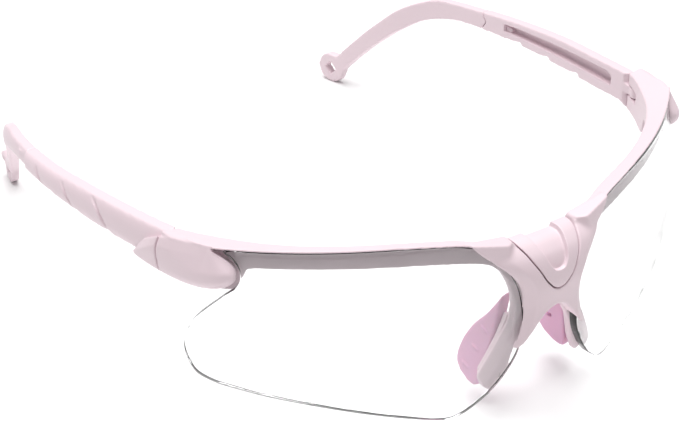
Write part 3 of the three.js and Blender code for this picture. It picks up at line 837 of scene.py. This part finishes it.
class GOGGLES_OT_nose_pads(bpy.types.Operator):
    """Models the soft nose pads and the hard strips that carry them"""
    bl_idname = "goggles.nose_pads"
    bl_label = "Nose pads and carriers"

    def execute(self, context):
        sizes = context.scene.goggles_sizes
        bodies = ("front", "front")
        rubber = soft_pad_rubber(context.scene.goggles_colours.pad)
        plastic = frame_plastic(context)
        carrier = make_carrier(sizes.mould_cell, 3)
        place_pair(carrier, "pad_carrier_strip", plastic, "frame_plastic", bodies, "nose_pad_carrier")
        pad = make_pad(sizes.pad_cell)
        for piece in place_pair(pad, "soft_nose_pad", rubber, "soft_pad", bodies, "nose_pad"):
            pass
        return {"FINISHED"}


class GOGGLES_OT_temples(bpy.types.Operator):
    """Models the temple arms and the rear sections with their cord rings"""
    bl_idname = "goggles.temples"
    bl_label = "Temples"

    def execute(self, context):
        sizes = context.scene.goggles_sizes
        bodies = ("temple_left", "temple_right")
        plastic = frame_plastic(context)
        arm = make_arm(sizes.crown, sizes.mould_cell, sizes.edge_passes)
        place_pair(arm, "temple_arm_moulding", plastic, "frame_plastic", bodies, "temple_arm")
        tip = make_tip(sizes.crown, sizes.mould_cell, sizes.edge_passes)
        place_pair(tip, "temple_tip_moulding", plastic, "frame_plastic", bodies, "temple_tip")
        return {"FINISHED"}


class GOGGLES_OT_hinge_metal(bpy.types.Operator):
    """Gives the hinge screws and threaded inserts their metal"""
    bl_idname = "goggles.hinge_metal"
    bl_label = "Hinge screws and inserts"

    def execute(self, context):
        steel = turned_metal("turned_plated_steel", "#8f9296", "#c9ccd0", 0.28)
        brass = turned_metal("turned_brass", "#a5813a", "#d9b768", 0.3)
        for side in ("left", "right"):
            for part, metal in (("screw", steel), ("insert", brass)):
                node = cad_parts[f"hinge_{part}_{side}"]
                node.data.materials.clear()
                node.data.materials.append(metal)
        return {"FINISHED"}


class GOGGLES_OT_stage(bpy.types.Operator):
    """Sets the pale floor, the soft studio light and the camera"""
    bl_idname = "goggles.stage"
    bl_label = "Stage"

    def execute(self, context):
        scene = context.scene
        bpy.ops.mesh.primitive_grid_add(x_subdivisions=8, y_subdivisions=8, size=6)
        floor = context.object
        floor.name = "floor"
        floor.data.materials.append(matt_sweep(scene.goggles_colours.floor))
        world = bpy.data.worlds.new("studio")
        world.use_nodes = True
        background = world.node_tree.nodes["Background"]
        background.inputs["Color"].default_value = (1, 1, 1, 1)
        background.inputs["Strength"].default_value = SKY_STRENGTH
        scene.world = world
        light = bpy.data.lights.new("overhead", "AREA")
        light.size = 0.9
        light.energy = LAMP_WATTS
        lamp = bpy.data.objects.new("overhead", light)
        lamp.location = LAMP_PLACE
        lamp.rotation_euler = Vector(LAMP_PLACE).to_track_quat("Z", "Y").to_euler()
        scene.collection.objects.link(lamp)
        turn, rise = radians(-34.97), radians(30.57)
        back = Vector((sin(turn) * cos(rise), -cos(turn) * cos(rise), sin(rise)))
        target = Vector((-22.8, seam_y, 32.35)) * 0.001
        camera = bpy.data.objects.new("camera", bpy.data.cameras.new("camera"))
        camera.data.sensor_width = 36
        camera.data.lens = 98.09
        camera.data.clip_start = 0.01
        camera.location = target + back * 0.4309
        camera.rotation_euler = (-back).to_track_quat("-Z", "Y").to_euler()
        scene.collection.objects.link(camera)
        scene.camera = camera
        scene.view_settings.view_transform = "Standard"
        return {"FINISHED"}


class GOGGLES_PT_panel(bpy.types.Panel):
    bl_label = "Protective goggles"
    bl_idname = "GOGGLES_PT_panel"
    bl_space_type = "VIEW_3D"
    bl_region_type = "UI"
    bl_category = "Goggles"

    def draw(self, context):
        for group in (context.scene.goggles_sizes, context.scene.goggles_colours):
            for name in group.__annotations__:
                self.layout.prop(group, name)
        for operator in OPERATORS:
            self.layout.operator(operator.bl_idname)


OPERATORS = (GOGGLES_OT_frame, GOGGLES_OT_cap, GOGGLES_OT_lenses, GOGGLES_OT_nose_pads, GOGGLES_OT_temples,
             GOGGLES_OT_hinge_metal, GOGGLES_OT_stage)
CLASSES = (GogglesSizes, GogglesColours, *OPERATORS, GOGGLES_PT_panel)


def register():
    for item in CLASSES:
        bpy.utils.register_class(item)
    bpy.types.Scene.goggles_sizes = PointerProperty(type=GogglesSizes)
    bpy.types.Scene.goggles_colours = PointerProperty(type=GogglesColours)


def unregister():
    del bpy.types.Scene.goggles_colours
    del bpy.types.Scene.goggles_sizes
    for item in reversed(CLASSES):
        bpy.utils.unregister_class(item)


def main():
    register()
    bpy.ops.goggles.frame()
    bpy.ops.goggles.cap()
    bpy.ops.goggles.lenses()
    bpy.ops.goggles.nose_pads()
    bpy.ops.goggles.temples()
    bpy.ops.goggles.hinge_metal()
    bpy.ops.goggles.stage()


if __name__ == "__main__":
    main()
